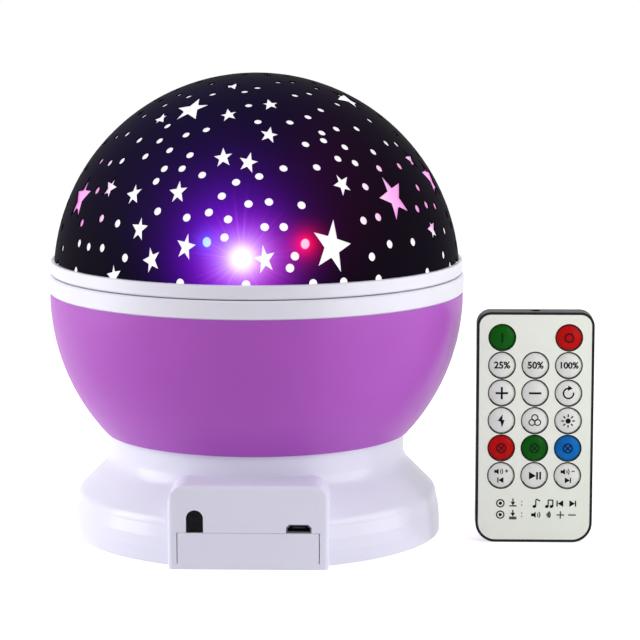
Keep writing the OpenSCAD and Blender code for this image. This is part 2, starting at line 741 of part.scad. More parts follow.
module led_board() color("#F3F5F2") tube(led_board_r, column_bore_r + 0.4, tray_top, lamp_z);

module led(turn) rotate([0, 0, turn]) translate([lamp_circle_r, 0, lamp_z]) {
  cylinder(r = led_r, h = led_body_h);
  cylinder(r = led_r + 0.4, h = led_flange_h);
  translate([0, 0, led_body_h]) sphere(r = led_r);
}

module led_white() color("#F6FBFF") led(lamp_turns[0]);
module led_blue() color("#3C63FF") led(lamp_turns[1]);
module led_red() color("#FF3A30") led(lamp_turns[2]);
module led_green() color("#38D96A") led(lamp_turns[3]);

// Four wires in the column's bore, from the base up to the lamp board
module lamp_lead() {
  tints = ["#D23B34", "#2C2C30", "#E8C93A", "#3566C8"];
  for (i = [0 : 3]) color(tints[i]) rotate([0, 0, 90 * i])
    translate([1.2, 0, deck_under - 3]) cylinder(r = wire_r, h = lamp_z - deck_under + 2.6, $fn = 24);
}

module tact_switches() {
  color("#1F6B45") translate([-push_pitch - 6, switch_board_y, push_z - 5])
    cube([2 * push_pitch + 12, switch_board_t, 10]);
  for (i = [-1 : 1]) translate([i * push_pitch, 0, push_z]) {
    color("#2A2B2E") translate([-3, switch_board_y + switch_board_t, -3]) cube([6, switch_body, 6]);
    color("#E9E9E9") y_rod(1.7, switch_tip - switch_nub_l, switch_tip);
  }
}

// Push button: a domed cap, with a flange that the panel holds back
module push_button(x) color("#ECE8F6") translate([x, 0, push_z]) {
  front = panel_y + push_proud;
  y_rod(push_flange_r, panel_in - push_flange_t, panel_in);
  intersection() {
    y_rod(push_r, panel_in - 0.2, front + cut);
    translate([0, front - push_dome_r, 0]) sphere(r = push_dome_r);
  }
}

module light_button() push_button(-push_pitch);
module colour_button() push_button(0);
module turn_button() push_button(push_pitch);

// ---------- globe ----------

module bowl_slab(z0, z1) translate([0, 0, z0]) cylinder(r = bowl_r + cut, h = z1 - z0);

module bowl_ball(r) translate([0, 0, bowl_centre]) sphere(r = r, $fn = 144);

module bowl_shell() color("#B678D8") difference() {
  union() {
    intersection() {
      difference() {
        bowl_ball(bowl_r);
        bowl_ball(bowl_r - bowl_wall);
      }
      bowl_slab(bowl_z, bowl_top);
    }
    intersection() {
      bowl_ball(bowl_r - bowl_wall / 2);
      bowl_slab(bowl_z, bowl_z + bowl_floor_t);
    }
    translate([0, 0, washer_top]) cylinder(r = hub_r, h = hub_top - washer_top);
    for (i = [0 : 5]) rotate([0, 0, 60 * i]) translate([hub_r - 1, -0.75, bowl_z]) cube([24, 1.5, 4]);
  }
  translate([0, 0, washer_top - cut]) cylinder(r = column_r + turn_gap, h = hub_top);
  for (i = [0 : peg_count - 1]) rotate([0, 0, 360 * i / peg_count]) translate([peg_circle_r, 0, bowl_z - cut])
    cylinder(r = peg_r + 0.05, h = bowl_floor_t + 2 * cut);
}

module ring_gear() color("#F2F2F0") {
  low = half_deg((PI / 4 + backlash + tan(pressure)) * gear_module, pitch_ring - gear_module);
  high = half_deg((PI / 4 + backlash - 1.25 * tan(pressure)) * gear_module, gear_root_r);
  difference() {
    translate([0, 0, gear_z]) cylinder(r = gear_out_r, h = ring_gear_h);
    translate([0, 0, gear_z - cut]) rotate([0, 0, drive_turn]) linear_extrude(ring_gear_h + 2 * cut)
      polygon(tooth_ring(ring_teeth, pitch_ring - gear_module, gear_root_r, low, high));
  }
  for (i = [0 : peg_count - 1]) rotate([0, 0, 360 * i / peg_count]) translate([peg_circle_r, 0, bowl_z - cut])
    cylinder(r = peg_r, h = bowl_floor_t + cut + 0.8);
}

// Ring on the bowl's rim; a ledge inside it catches the dome's lugs
module trim_ring() color("#F1EEFA") {
  skirt_out = sqrt(pow(bowl_r - bowl_wall, 2) - pow(bowl_centre - ring_skirt_z, 2)) - seat_gap;
  edge = 0.5;
  rotate_extrude($fn = 144) polygon([[ring_bore_r, ring_skirt_z], [skirt_out, ring_skirt_z],
    [skirt_out, bowl_top], [ring_r - edge, bowl_top], [ring_r, bowl_top + edge], [ring_r, ring_top - edge],
    [ring_r - edge, ring_top], [ring_bore_r, ring_top]]);
  for (i = [0 : catches - 1]) rotate([0, 0, 360 * i / catches]) {
    ledge_from = twist_deg + catch_gap_deg / 2;
    ledge_to = 360 / catches + twist_deg - catch_gap_deg / 2;
    stop_in_r = catch_r + 0.3;
    stop_out_r = ring_bore_r + 0.8;
    ring_piece(catch_r, ring_bore_r + 0.5, catch_z, catch_z + catch_t, ledge_from, ledge_to);
    for (from = [ledge_from + 0.5, -lug_deg / 2 - 0.5 - stop_deg])
      ring_piece(stop_in_r, stop_out_r, skirt_z, catch_z + 0.5, from, from + stop_deg);
  }
}

module dome_collar() color("#F1EEFA") {
  edge = 0.5;
  seat_r = clear_r + seat_gap;
  rotate_extrude($fn = 144) polygon([[skirt_in_r, skirt_z], [skirt_r, skirt_z], [skirt_r, collar_z],
    [collar_r - edge, collar_z], [collar_r, collar_z + edge], [collar_r, collar_top - edge / 2],
    [collar_r - edge / 2, collar_top], [seat_r, collar_top], [seat_r, dome_seat_z],
    [skirt_in_r, dome_seat_z]]);
  for (i = [0 : catches - 1]) rotate([0, 0, 360 * i / catches])
    ring_piece(skirt_r - 0.5, lug_r, lug_z, lug_z + lug_h, -lug_deg / 2, lug_deg / 2);
}

module dome_cap(r, z0) intersection() {
  translate([0, 0, dome_z]) sphere(r = r, $fn = 144);
  translate([0, 0, z0]) cylinder(r = dome_r + cut, h = dome_r + cut);
}

module clear_dome() color("#E9E6F8", 0.6) difference() {
  dome_cap(clear_r, dome_seat_z);
  translate([0, 0, dome_z]) sphere(r = clear_r - clear_t, $fn = 144);
}

// longitude from the front, latitude, size (1 large, 0 small) and turn of each star
front_stars = [[-34, 59, 1, 12], [-48, 54, 0, 30], [-20, 73, 0, 0], [-11, 57, 0, 20], [11, 62, 0, 5],
  [8, 49, 0, -15], [-9, 41, 0, 10], [0, 39.5, 0, -12], [-22, 30, 0, 8], [-38, 28.5, 0, 15],
  [-50, 29.5, 0, -10], [-66, 25, 1, 5], [-32.5, 19, 0, 0], [-27, 11, 0, 20], [-17, 15, 0, -8],
  [5, 12, 0, 10], [24, 15, 1, -14], [31, 32, 0, 20], [73, 62, 1, 8], [71, 37, 0, 0], [49.5, 27, 1, 15],
  [80, 30, 1, -5], [64, 16.5, 0, 12], [-39.5, 5.6, 0, 10]];
// the rear half repeats the front's stars, turned about the axis
stars = concat(front_stars, [for (s = front_stars) [s[0] + 182, s[1] - 2, s[2], s[3] + 25]]);

function toward(lon, lat) = [sin(lon) * cos(lat), -cos(lon) * cos(lat), sin(lat)];
function star_size(s) = s[2] == 1 ? star_l : star_s;
function star_distance(lon, lat, s) =
  acos(min(1, toward(lon, lat) * toward(s[0], s[1]))) * PI / 180 * dome_r - star_size(s) * stretch(lat);
function clear_of_stars(lon, lat) =
  min([for (s = stars) star_distance(lon, lat, s)]) > dot_r * stretch(lat) + 0.3;

function stretch(lat) = 1 + draw_out * pow(cos(lat), 2);

module on_dome(lon, lat) translate([0, 0, dome_z]) rotate([0, 0, lon]) rotate([90 - lat, 0, 0])
  translate([0, 0, dome_r - skin_t - 2]) children();

module star_window(s) on_dome(s[0], s[1]) linear_extrude(skin_t + 4)
  polygon(star_outline(star_size(s), s[3], stretch(s[1])));

// A dot's area grows as much as a star's
module dot_window(lon, lat) if (clear_of_stars(lon, lat)) on_dome(lon, lat)
  cylinder(r = dot_r * sqrt(stretch(lat)), h = skin_t + 4, $fn = 24);

module star_skin() color("#120A22") difference() {
  dome_cap(dome_r, collar_top + 0.05);
  translate([0, 0, dome_z]) sphere(r = dome_r - skin_t, $fn = 144);
  for (s = stars) star_window(s);
  rows = floor(PI / 2 * dome_r / dot_pitch);
  for (row = [1 : rows]) {
    base_lat = 90 * (row - 0.1) / rows;
    count = max(1, round(2 * PI * dome_r * cos(base_lat) / dot_pitch));
    for (i = [0 : count - 1]) {
      lon = 360 * (i + 0.5 * (row % 2) + 0.2 * sin(97 * i + 41 * row)) / count;
      lat = base_lat + 2.4 * sin(5 * lon + 60 * row) + 1.2 * sin(137 * i);
      if (lat > 8.5 && lat < 88) dot_window(lon, lat);
    }
  }
  // dots that the collar cuts in half
  for (i = [0 : edge_dots - 1]) dot_window(360 * (i + 0.3 * sin(97 * i)) / edge_dots, edge_lat);
}

// ---------- remote ----------

module in_remote() translate([remote_x, -remote_y, 0]) children();

module remote_back_shell() color("#17171A") in_remote() difference() {
  upright_plate(remote_w, 0, remote_h, remote_low_r, remote_top_r, face_y, remote_t);
  // recess of the faceplate, then the hollow behind it
  upright_plate(remote_w - 2 * remote_rim, remote_rim, remote_h - remote_rim, remote_low_r - remote_rim,
    remote_top_r - remote_rim, face_y - cut, face_t + cut + 0.02);
  upright_plate(remote_w - 2 * remote_wall - 1.4, remote_wall + 0.7, remote_h - remote_wall - 0.7,
    remote_low_r - remote_wall - 0.7, remote_top_r - remote_wall - 0.7, face_y, remote_inside - face_y);
  // slot of the coin cell's tray
  translate([-tray_w / 2 - slide_gap, tray_y - 0.15, -cut])
    cube([tray_w + 2 * slide_gap, tray_thick + 0.3, 8]);
  translate([0, remote_inside - 1.7, remote_h - 6]) cylinder(r = remote_led_r + 0.1, h = 6 + cut);
}

module at_key(i) translate([key_spots[i][0] * key_pitch_x, 0, key_z + key_spots[i][1] * key_pitch_z])
  children();

module at_keys() for (i = [0 : len(key_spots) - 1]) at_key(i) children();

module remote_faceplate() color("#E6EADD") in_remote() difference() {
  upright_plate(remote_w - 2 * remote_rim - 0.1, remote_rim + 0.05, remote_h - remote_rim - 0.05,
    remote_low_r - remote_rim - 0.05, remote_top_r - remote_rim - 0.05, face_y, face_t);
  at_keys() y_rod(key_r + slide_gap, face_y - cut, face_y + face_t + cut);
}

module remote_board() color("#1B5E3B") in_remote() difference() {
  translate([-remote_board_w / 2, remote_board_y, remote_board_z])
    cube([remote_board_w, remote_board_t, remote_h - remote_board_z - remote_board_top]);
}

module remote_snap_domes() color("#C8CACE") in_remote() at_keys()
  translate([0, remote_board_y, 0]) rotate([90, 0, 0]) cylinder(r1 = snap_r, r2 = 1.4, h = snap_h);

module remote_ir_led() color("#241A2C") in_remote() translate([0, remote_inside - 1.7, 0]) {
  translate([0, 0, remote_h - 7.4]) cylinder(r = remote_led_r, h = 5.6);
  translate([0, 0, remote_h - 1.8]) sphere(r = remote_led_r);
}

module coin_tray() color("#17171A") in_remote() difference() {
  translate([-tray_w / 2, tray_y, tray_foot]) cube([tray_w, tray_thick, tray_h]);
  translate([0, 0, coin_z]) y_rod(coin_r + coin_gap, tray_y - cut, tray_y + tray_thick + cut);
  for (i = [-2 : 2]) translate([2 * i - 0.4, tray_y - 0.01, tray_foot - cut])
    cube([0.8, tray_thick + 0.02, cut + 0.3]);
}

module coin_cell() color("#D2D4D8") in_remote() translate([0, 0, coin_z]) {
  y_rod(coin_r, tray_y + 0.3, tray_y + tray_thick);
  y_rod(coin_r - 1.2, tray_y, tray_y + 0.3);
}

// Key: a low dome, a flange bar behind the faceplate and a nub that presses the snap dome
module remote_key(i) in_remote() at_key(i) {
  front = face_y - key_proud;
  dome_ball = 10;
  intersection() {
    y_rod(key_r, front - cut, key_flange_y);
    translate([0, front + dome_ball, 0]) sphere(r = dome_ball);
  }
  translate([-key_flange_w / 2, key_flange_y, -key_flange_h / 2])
    cube([key_flange_w, key_flange_t, key_flange_h]);
  y_rod(1.2, key_flange_y, key_back);
}

module key_on() color("#0F7A3A") remote_key(0);
module key_off() color("#C22630") remote_key(1);
module key_quarter() color("#EEF0EA") remote_key(2);
module key_half() color("#EEF0EA") remote_key(3);
module key_full() color("#EEF0EA") remote_key(4);
module key_plus() color("#EEF0EA") remote_key(5);
module key_minus() color("#EEF0EA") remote_key(6);
module key_rotate() color("#EEF0EA") remote_key(7);
module key_flash() color("#EEF0EA") remote_key(8);
module key_mix() color("#EEF0EA") remote_key(9);
module key_white() color("#EEF0EA") remote_key(10);
module key_red() color("#C22630") remote_key(11);
module key_green() color("#0F7A3A") remote_key(12);
module key_blue() color("#2450A8") remote_key(13);
module key_previous() color("#EEF0EA") remote_key(14);
module key_play() color("#EEF0EA") remote_key(15);
module key_next() color("#EEF0EA") remote_key(16);

base_shell();
bottom_cover();
cover_screws();
main_board();
usb_socket();
ir_receiver();
speaker_frame();
speaker_cone();
battery_cells();
battery_contacts();
battery_door();
gear_motor();
gearbox_case();
output_shaft();
drive_pinion();
lamp_column();
bearing_washer();
retaining_clip();
lamp_tray();
led_board();
led_white();
led_blue();
led_red();
led_green();
lamp_lead();
tact_switches();
light_button();
colour_button();
turn_button();
bowl_shell();
ring_gear();
trim_ring();
dome_collar();
clear_dome();
star_skin();
remote_back_shell();
remote_faceplate();
remote_board();
remote_snap_domes();
remote_ir_led();
coin_tray();
coin_cell();
key_on();
key_off();
key_quarter();
key_half();
key_full();
key_plus();
key_minus();
key_rotate();
key_flash();
key_mix();
key_white();
key_red();
key_green();
key_blue();
key_previous();
key_play();
key_next();
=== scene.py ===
import json
import math
import bmesh
import bpy
from mathutils import Matrix, Vector


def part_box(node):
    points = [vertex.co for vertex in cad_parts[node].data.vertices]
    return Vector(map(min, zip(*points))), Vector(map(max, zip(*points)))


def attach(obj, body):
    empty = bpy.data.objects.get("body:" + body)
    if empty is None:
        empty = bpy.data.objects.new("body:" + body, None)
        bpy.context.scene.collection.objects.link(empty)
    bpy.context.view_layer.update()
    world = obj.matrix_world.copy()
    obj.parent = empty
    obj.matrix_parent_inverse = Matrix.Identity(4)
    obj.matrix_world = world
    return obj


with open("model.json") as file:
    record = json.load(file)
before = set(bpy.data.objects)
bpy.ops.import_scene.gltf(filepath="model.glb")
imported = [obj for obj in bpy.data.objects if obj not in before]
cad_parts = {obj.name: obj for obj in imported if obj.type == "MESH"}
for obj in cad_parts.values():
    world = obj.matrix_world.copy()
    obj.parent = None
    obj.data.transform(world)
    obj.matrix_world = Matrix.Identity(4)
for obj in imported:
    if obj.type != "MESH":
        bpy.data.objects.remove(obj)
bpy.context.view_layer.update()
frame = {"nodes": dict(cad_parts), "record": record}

mm = 0.001
nodes = frame["nodes"]
bodyOf = {name: body for body, names in frame["record"]["behaviour"]["bodies"].items() for name in names}


class Wire:
    # one value or colour in a shader; the usual operators add Math nodes
    def __init__(self, shader, socket):
        self.shader = shader
        self.socket = socket

    def maths(self, operation, *parts):
        return self.shader.add("Math", {"operation": operation}, parts)

    def __add__(self, other):
        return self.maths("ADD", self, other)

    def __sub__(self, other):
        return self.maths("SUBTRACT", self, other)

    def __rsub__(self, other):
        return self.maths("SUBTRACT", other, self)

    def __mul__(self, other):
        return self.maths("MULTIPLY", self, other)

    def __truediv__(self, other):
        return self.maths("DIVIDE", self, other)

    def __rtruediv__(self, other):
        return self.maths("DIVIDE", other, self)

    def __neg__(self):
        return self.maths("MULTIPLY", self, -1.0)

    __radd__ = __add__
    __rmul__ = __mul__

    def exp(self):
        return self.maths("EXPONENT", self)

    def larger(self, other):
        return self.maths("MAXIMUM", self, other)

    def clip(self):
        return self.shader.add("Clamp", None, [self, 0.0, 1.0])

    # 0 below low, 1 above high, smooth between
    def step(self, low, high):
        return self.shader.add("MapRange", {"interpolation_type": "SMOOTHSTEP"},
                               {"Value": self, "From Min": low, "From Max": high})


class Shader:
    # the nodes of a material or of the world; add() makes any node
    def __init__(self, owner, main):
        owner.use_nodes = True
        self.tree = owner.node_tree
        self.main = self.tree.nodes[main]

    def add(self, kind, settings=None, values=None, output=0):
        node = self.tree.nodes.new("ShaderNode" + kind)
        for key, value in (settings or {}).items():
            setattr(node, key, value)
        pairs = values.items() if isinstance(values, dict) else enumerate(values or [])
        for slot, value in pairs:
            self.join(node.inputs[slot], value)
        return Wire(self, node.outputs[output])

    def join(self, socket, value):
        if isinstance(value, Wire):
            self.tree.links.new(value.socket, socket)
        else:
            socket.default_value = value

    def feed(self, slot, value):
        self.join(self.main.inputs[slot], value)

    # 1 for what the camera sees, straight or in a reflection or through a clear piece, else 0
    def seen(self):
        camera, glossy, through = [self.add("LightPath", output="Is " + ray + " Ray")
                                   for ray in ("Camera", "Glossy", "Transmission")]
        return camera.larger(glossy).larger(through)


class Finish(Shader):
    # a material with one Principled shader
    def __init__(self, name, **values):
        self.material = bpy.data.materials.new(name)
        super().__init__(self.material, "Principled BSDF")
        for slot, value in values.items():
            self.feed(slot.replace("_", " "), value)

    def place(self):
        return self.add("TexCoord", output="Object")

    def axes(self, vector):
        split = self.add("SeparateXYZ", None, [vector]).socket.node
        return [Wire(self, socket) for socket in split.outputs]

    def noise(self, scale, detail=2.0, vector=None, rough=0.5):
        return self.add("TexNoise", None, {"Vector": vector or self.place(), "Scale": scale,
                                           "Detail": detail, "Roughness": rough})

    def mix(self, way, factor, first, second):
        return self.add("Mix", {"data_type": "RGBA", "blend_type": way},
                        {"Factor": factor, "A": first, "B": second}, output="Result")

    def blend(self, factor, first, second):
        return self.mix("MIX", factor, first, second)

    # adds one coloured glow to a colour
    def glow(self, under, strength, colour):
        return self.mix("ADD", strength, under, colour)

    def bump(self, height, distance, strength=1.0):
        values = {"Height": height, "Distance": distance, "Strength": strength}
        self.feed("Normal", self.add("Bump", None, values))


# screen colour, 0 to 255, to the linear colour that shaders use
def tint(red, green, blue):
    def linear(value):
        value = value / 255
        return value / 12.92 if value <= 0.04045 else ((value + 0.055) / 1.055) ** 2.4
    return (linear(red), linear(green), linear(blue), 1.0)


plastic = {
    "index": 1.47,
    "coatRoughness": 0.12,
    "cloud": 28.0,              # fineness of the cloudiness in the colour
    "cloudStart": 0.35,
    "cloudContrast": 1.6,
    "wear": 90.0,               # fineness of the uneven gloss
    "wearDepth": 0.1,
    "grainHeight": 0.012 * mm,
    "grainStrength": 0.6,
}


# moulded plastic: a faint cloudiness in the colour, a fine spark-eroded skin and uneven gloss
def mouldedPlastic(name, colour, shade, rough, grain, coat, gloss):
    finish = Finish(name, Coat_Weight=coat, Coat_Roughness=plastic["coatRoughness"], IOR=plastic["index"],
                    Specular_IOR_Level=gloss)
    place = finish.place()
    cloud = (finish.noise(plastic["cloud"], 3.0, place) - plastic["cloudStart"]) * plastic["cloudContrast"]
    finish.feed("Base Color", finish.blend(cloud, colour, shade))
    wear = finish.noise(plastic["wear"], 4.0, place)
    finish.feed("Roughness", rough + (wear - 0.5) * plastic["wearDepth"])
    finish.bump(finish.noise(grain, 2.0, place), plastic["grainHeight"], plastic["grainStrength"])
    return finish


metal = {
    "streaks": 900.0,
    "stretch": (1, 1, 30),      # the streaks run across the Z axis
    "shade": 0.75,              # the darker streaks' share of the colour
    "unevenness": 0.12,
    "height": 0.004 * mm,
    "strength": 0.5,
}


def brushedMetal(name, colour, rough):
    finish = Finish(name, Metallic=1.0)
    streak = finish.add("Mapping", {"vector_type": "POINT"},
                        {"Vector": finish.place(), "Scale": metal["stretch"]})
    lines = finish.noise(metal["streaks"], 3.0, streak)
    dark = tuple(c * metal["shade"] for c in colour[:3]) + (1.0,)
    finish.feed("Base Color", finish.blend(lines, colour, dark))
    finish.feed("Roughness", rough + lines * metal["unevenness"])
    finish.bump(lines, metal["height"], metal["strength"])
    return finish


board = {
    "traces": {"Scale": 260.0, "Mortar Size": 0.06, "Mortar Smooth": 0.1},
    "traceShift": 0.35,
    "traceHeight": 0.03 * mm,
    "traceStrength": 0.5,
    "index": 1.5,
    "rough": 0.35,
    "wear": 300.0,
    "unevenness": 0.15,
}


def circuitBoard(name, mask, trace):
    finish = Finish(name, IOR=board["index"])
    place = finish.place()
    grid = finish.add("TexBrick", {"offset": board["traceShift"], "squash": 1.0},
                      {"Vector": place, **board["traces"]}, output="Fac")
    finish.feed("Base Color", finish.blend(grid, mask, trace))
    finish.feed("Roughness", board["rough"] + finish.noise(board["wear"], 2.0, place) * board["unevenness"])
    finish.bump(grid, board["traceHeight"], board["traceStrength"])
    return finish


epoxy = {
    "pale": (0.089, 0.097),     # heights in metres between which a lamp's cap turns pale
    "lit": (0.090, 0.096),      # and between which it starts to glow
    "strength": 1.0,
    "rough": 0.12,
    "index": 1.5,
    "grain": 700.0,
    "grainHeight": 0.005 * mm,
    "grainStrength": 0.3,
}


def litEpoxy(name, colour, glow):
    finish = Finish(name, Roughness=epoxy["rough"], IOR=epoxy["index"], Emission_Strength=epoxy["strength"])
    up = finish.axes(finish.place())[2]
    finish.feed("Base Color", finish.blend(up.step(*epoxy["pale"]), colour, glow))
    finish.feed("Emission Color", finish.blend(up.step(*epoxy["lit"]), colour, glow))
    finish.bump(finish.noise(epoxy["grain"], 1.0), epoxy["grainHeight"], epoxy["grainStrength"])
    return finish


# each plastic's two shades as screen colours, then its roughness, fineness of grain, coat and gloss
plastics = {
    "whiteCase": ((233, 233, 247), (228, 228, 244), 0.36, 2200.0, 0.22, 0.5),
    "whiteTrim": ((237, 236, 245), (232, 230, 242), 0.36, 2600.0, 0.10, 0.5),
    "whiteGear": ((240, 240, 236), (228, 228, 222), 0.45, 1500.0, 0.0, 0.5),
    "orchid": ((176, 84, 193), (170, 78, 187), 0.40, 2400.0, 0.0, 0.35),
    "remoteBlack": ((14, 14, 16), (9, 9, 10), 0.40, 1800.0, 0.0, 0.2),
    "boxGrey": ((205, 207, 212), (190, 192, 198), 0.45, 1600.0, 0.0, 0.5),
    "nylon": ((222, 228, 230), (208, 214, 217), 0.5, 1200.0, 0.0, 0.5),
    "epoxyBlack": ((9, 8, 11), (5, 5, 6), 0.40, 900.0, 0.0, 0.1),
    "paper": ((84, 78, 72), (66, 60, 55), 0.8, 500.0, 0.0, 0.5),
    "sleeve": ((56, 122, 86), (48, 108, 76), 0.28, 1200.0, 0.3, 0.5),
    "vinyl": ((196, 58, 52), (180, 48, 44), 0.45, 1200.0, 0.0, 0.5),
    "lampShade": ((246, 246, 246), (236, 236, 238), 0.4, 1600.0, 0.0, 0.5),
    "faceFilm": ((244, 249, 236), (239, 245, 230), 0.42, 1500.0, 0.0, 0.5),
    "blackInk": ((6, 6, 7), (12, 12, 13), 0.5, 1400.0, 0.0, 0.1),
    "greenInk": ((2, 34, 4), (3, 40, 6), 0.4, 1400.0, 0.0, 0.1),
    "redInk": ((74, 4, 6), (84, 5, 8), 0.4, 1400.0, 0.0, 0.1),
    "blueInk": ((5, 34, 74), (7, 40, 84), 0.4, 1400.0, 0.0, 0.1),
}
finishes = {name: mouldedPlastic(name, tint(*colour), tint(*shade), *rest)
            for name, (colour, shade, *rest) in plastics.items()}
finishes["steel"] = brushedMetal("steel", tint(200, 202, 206), 0.22)
finishes["darkSteel"] = brushedMetal("darkSteel", tint(92, 94, 99), 0.38)
finishes["greenBoard"] = circuitBoard("greenBoard", tint(24, 92, 58), tint(52, 128, 84))
finishes["whiteBoard"] = circuitBoard("whiteBoard", tint(236, 238, 234), tint(218, 220, 214))
print("finishes: plain ones made")

# where the lamps' painted glow goes on the front of the dome: mm from the axis, and above the ground
paintedDomeGlow = {
    "flare": (-1.3, 98.9),
    "flareCore": (3.5, 3.5),
    "flareColour": (0.8, 1.0, 1.0, 1.0),
    "rays": 9.0,                # how many streaks the flare throws, about
    "rayReach": (9.0, 10.0),
    "rayLevel": 0.5,
    "rayColour": (0.6, 0.09, 0.7, 1.0),
    # each small lamp's place, the colour of its painted glowing core on the skin, and of a painted glowing
    # window in front of it
    "spots": [
        ((-12.2, 103.7), (0.3, 0.8, 1.0, 1.0), tint(120, 190, 255)),
        ((18.0, 103.1), (1.0, 0.62, 0.7, 1.0), tint(255, 170, 180)),
    ],
    "spotCore": (1.3, 1.5),
    "spotWindow": (3.0, 3.0),
    # place, width and height in mm, then the colour that each painted pool of light adds
    "pools": [
        ((-4.0, 99.0), 15.0, 16.0, (0.15, 0.002, 0.72)),
        ((1.0, 98.0), 11.0, 10.0, (0.50, 0.03, 0.38)),
        ((-6.0, 113.0), 22.0, 18.0, (0.019, 0.001, 0.075)),
        ((-14.0, 132.0), 40.0, 30.0, (0.004, 0.002, 0.020)),
        ((22.0, 114.0), 18.0, 24.0, (0.012, 0.0, 0.001)),
        ((18.0, 103.1), 4.6, 4.6, (0.50, 0.0, 0.02)),
        ((18.0, 103.1), 2.6, 2.6, (0.6, 0.0, 0.02)),
        ((-12.2, 103.7), 3.4, 3.4, (0.0, 0.04, 0.4)),
        ((-1.3, 98.9), 6.5, 6.0, (0.20, 0.48, 0.1)),
    ],
    "frontFade": (0.0, 0.02),   # the painted light fades out towards the sides, in metres before the axis
    # painted pinker glow in the windows at the sides, in metres: from and to these heights, and past these
    # widths
    "beltStart": (0.101, 0.106),
    "beltEnd": (0.122, 0.132),
    "pinkRight": (0.030, 0.048),
    "pinkLeft": (0.040, 0.052),
}


skin = {
    "shades": (tint(6, 3, 10), tint(12, 6, 20)),
    "rough": 0.6,
    "gloss": 0.015,
    "cloud": 34.0,
    "haze": 20.0,               # fineness of the unevenness in the painted pools of light
    "hazeLevel": 0.62,
    "hazeSpan": 0.76,
    "rayEdge": (0.5, 0.72),
    "spotEdge": (0.28, 0.5),
    "grain": 1400.0,
    "grainHeight": 0.01 * mm,
    "grainStrength": 0.4,
}


# 1 at a place on the dome's front, given in mm, fading over wide and tall
def frontSpot(finish, x, z, place, wide, tall):
    across = (x - place[0] * mm) / (wide * mm)
    up = (z - place[1] * mm) / (tall * mm)
    return (-(across * across + up * up)).exp()


# the dark skin: nearly black violet, with the lamps' light painted on its front as glow, where it would show
# through
def starSkinFinish():
    finish = Finish("nightSkin", Roughness=skin["rough"], Specular_IOR_Level=skin["gloss"],
                    Emission_Strength=1.0)
    place = finish.place()
    x, y, z = finish.axes(place)
    cloud = finish.noise(skin["cloud"], 4.0, place)
    finish.feed("Base Color", finish.blend(cloud, *skin["shades"]))
    front = (-y).step(*paintedDomeGlow["frontFade"])
    haze = skin["hazeLevel"] + finish.noise(skin["haze"], 3.0, place, 0.6) * skin["hazeSpan"]
    light = (0.0, 0.0, 0.0, 1.0)
    for spot, wide, tall, colour in paintedDomeGlow["pools"]:
        pool = frontSpot(finish, x, z, spot, wide, tall) * front * haze
        light = finish.glow(light, pool, (*colour, 1.0))
    flare = paintedDomeGlow["flare"]
    turn = finish.add("Math", {"operation": "ARCTAN2"}, [z - flare[1] * mm, x - flare[0] * mm])
    rays = finish.add("TexNoise", {"noise_dimensions": "1D"},
                      {"W": turn, "Scale": paintedDomeGlow["rays"], "Detail": 2.0})
    reach = frontSpot(finish, x, z, flare, *paintedDomeGlow["rayReach"])
    streaks = reach * rays.step(*skin["rayEdge"]) * front * paintedDomeGlow["rayLevel"]
    light = finish.glow(light, streaks, paintedDomeGlow["rayColour"])
    core = frontSpot(finish, x, z, flare, *paintedDomeGlow["flareCore"]) * front
    light = finish.glow(light, core, paintedDomeGlow["flareColour"])
    for spot, colour, _ in paintedDomeGlow["spots"]:
        core = frontSpot(finish, x, z, spot, *paintedDomeGlow["spotCore"]).step(*skin["spotEdge"]) * front
        light = finish.glow(light, core, colour)
    # painted glow: the skin gives the lamps' light, flare and rays as its own emission
    finish.feed("Emission Color", light)
    finish.bump(finish.noise(skin["grain"], 2.0, place), skin["grainHeight"], skin["grainStrength"])
    return finish


window = {
    # the colours of the painted glow, white and pink
    "white": (0.92, 0.90, 0.94, 1.0),
    "pink": tint(238, 148, 222),
    # the base colour, painted pinker at the sides with the glow
    "shades": (tint(90, 88, 94), tint(90, 60, 84)),
    "patch": 30.0,              # fineness of the patches in the pink
    "patchLevel": 0.7,
    "patchSpan": 0.6,
    "rough": 0.3,
    "index": 1.49,
    "ripple": 60.0,
    "rippleHeight": 0.02 * mm,
    "rippleStrength": 0.3,
}


# the clear dome, seen through the stars and dots: a painted glow as if lit from inside, pinker towards the
# sides, with its base colour painted pinker there too
def litDomeFinish():
    finish = Finish("litDome", Roughness=window["rough"], IOR=window["index"], Emission_Strength=1.0)
    place = finish.place()
    x, y, z = finish.axes(place)
    belt = z.step(*paintedDomeGlow["beltStart"]) * (1.0 - z.step(*paintedDomeGlow["beltEnd"]))
    right = x.step(*paintedDomeGlow["pinkRight"])
    left = (-x).step(*paintedDomeGlow["pinkLeft"])
    patch = window["patchLevel"] + finish.noise(window["patch"], 2.0, place) * window["patchSpan"]
    pink = ((right + left) * belt * patch).clip()
    lit = finish.blend(pink, window["white"], window["pink"])
    front = (-y).step(*paintedDomeGlow["frontFade"])
    for spot, _, colour in paintedDomeGlow["spots"]:
        near = frontSpot(finish, x, z, spot, *paintedDomeGlow["spotWindow"]) * front
        lit = finish.blend(near, lit, colour)
    # painted glow: the clear dome gives the lamps' light as its own emission
    finish.feed("Emission Color", lit)
    finish.feed("Base Color", finish.blend(pink, *window["shades"]))
    finish.bump(finish.noise(window["ripple"], 1.0, place), window["rippleHeight"],
                window["rippleStrength"])
    return finish


cap = {
    "plain": {"Roughness": 0.4, "IOR": 1.48, "Specular_IOR_Level": 0.05, "Coat_Weight": 0.06,
              "Coat_Roughness": 0.06},
    "cloud": 210.0,
    "cloudStart": 0.3,
    "cloudContrast": 1.5,
    "grain": 900.0,
    "grainHeight": 0.006 * mm,
    "grainStrength": 0.3,
}


